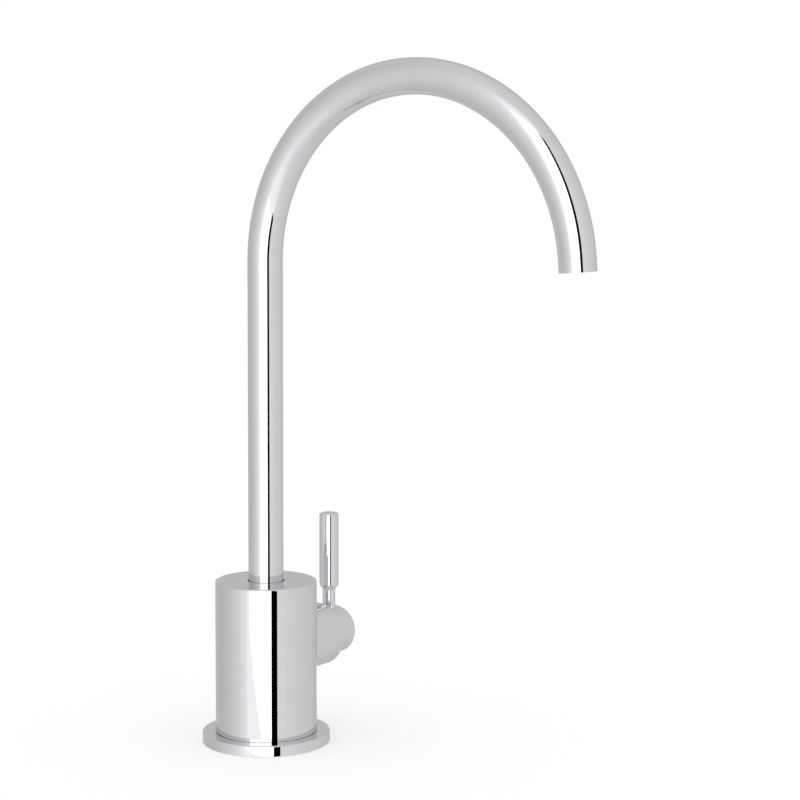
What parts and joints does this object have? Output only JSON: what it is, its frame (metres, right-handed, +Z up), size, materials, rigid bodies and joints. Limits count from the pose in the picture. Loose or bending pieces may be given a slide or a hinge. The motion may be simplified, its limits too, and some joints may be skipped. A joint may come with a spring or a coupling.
{
  "type": "dispenser tap",
  "caption": "Deck-mounted dispenser tap in polished chrome, with a round body, a tall swan-neck swivel spout and an upright quarter-turn side lever.",
  "frame": {"origin": "centre of the flange's underside, which lies on the deck, on the axis of the body and spout", "axes": "+Z up, away from the deck; the spout at rest points along -Y, towards the user; the valve branch points along +X, on the user's right"},
  "size_m": [0.0836, 0.2008, 0.365],
  "materials": {
    "polished_chrome": "polished",
    "machined_brass": "machined",
    "black_rubber": "matt",
    "black_acetal": "satin",
    "red_fibre": "matt",
    "alumina_ceramic": "lapped",
    "stainless_steel": "satin",
    "white_acetal": "satin"
  },
  "bodies": {
    "tap_body": {"base_flange": "polished_chrome", "flange_gasket": "black_rubber", "body_shell": "polished_chrome", "valve_block": "machined_brass", "thrust_ring": "white_acetal", "bearing_ring": "white_acetal", "spout_gland": "machined_brass", "cartridge_body": "machined_brass", "cartridge_o_ring": "black_rubber", "seat_seal": "black_rubber", "fixed_ceramic_disc": "alumina_ceramic", "bonnet_ring": "polished_chrome", "hub_bush": "black_acetal", "mounting_shank": "machined_brass", "shank_seal": "red_fibre"},
    "spout": {"spout_tube": "polished_chrome", "spout_ferrule": "machined_brass", "spout_o_rings": "black_rubber", "flow_straightener": "white_acetal"},
    "lever": {"lever_hub": "polished_chrome", "lever_arm": "polished_chrome", "hub_grub_screw": "stainless_steel", "valve_spindle": "machined_brass", "moving_ceramic_disc": "alumina_ceramic", "spindle_o_ring": "black_rubber", "spindle_circlip": "stainless_steel"},
    "deck_clamp": {"deck_rubber_washer": "black_rubber", "deck_steel_washer": "stainless_steel", "back_nut": "machined_brass"}
  },
  "joints": [
    {"name": "spout_swivel", "type": "hinge", "parent": "tap_body", "child": "spout", "pos_m": [0, 0, 0.06], "axis": [0, 0, 1], "continuous": true},
    {"name": "lever_turn", "type": "hinge", "parent": "tap_body", "child": "lever", "pos_m": [0.045, 0, 0.0424], "axis": [1, 0, 0], "range_deg": [0, 90]},
    {"name": "deck_clamp_slide", "type": "slide", "parent": "tap_body", "child": "deck_clamp", "axis": [0, 0, 1], "range_m": [0, 0.025]}
  ]
}
